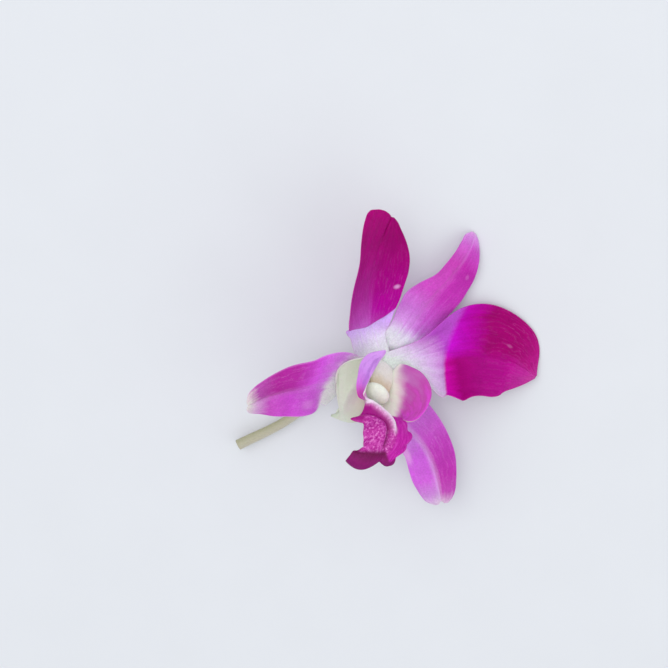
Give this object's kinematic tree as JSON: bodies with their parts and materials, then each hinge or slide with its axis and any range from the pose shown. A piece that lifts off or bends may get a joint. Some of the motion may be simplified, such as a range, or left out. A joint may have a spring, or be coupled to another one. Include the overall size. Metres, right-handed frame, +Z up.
{
  "type": "orchid flower",
  "caption": "Dendrobium orchid flower lying face up, with broad rounded petals, narrower sepals, a lip with raised side lobes and a waved front lobe, and a short curved stalk.",
  "frame": {"origin": "middle of the bounding box, on the surface that the flower lies on", "axes": "+Z up from that surface, +X to the right and +Y towards the top sepal's side of the flower as the picture shows it"},
  "size_m": [0.0704, 0.069, 0.036],
  "materials": {
    "petal": "satin fresh tissue, deep magenta with a lilac to white base",
    "sepal": "satin fresh tissue, pink-violet with pale veins, base and tip",
    "lip": "velvety fresh tissue, cream base, lilac side lobes and dark magenta front lobe",
    "column": "waxy cream fresh tissue, greenish at the foot",
    "anther_cap": "waxy cream white",
    "pollen_wax": "dull yellow wax",
    "stalk": "smooth green-cream stalk, brownish on top"
  },
  "bodies": {
    "root": {"dorsal_sepal": "sepal", "lateral_sepal_left": "sepal", "lateral_sepal_right": "sepal", "petal_left": "petal", "petal_right": "petal", "labellum": "lip", "column": "column", "anther_cap": "anther_cap", "pollinia": "pollen_wax", "pedicel": "stalk"}
  },
  "joints": []
}
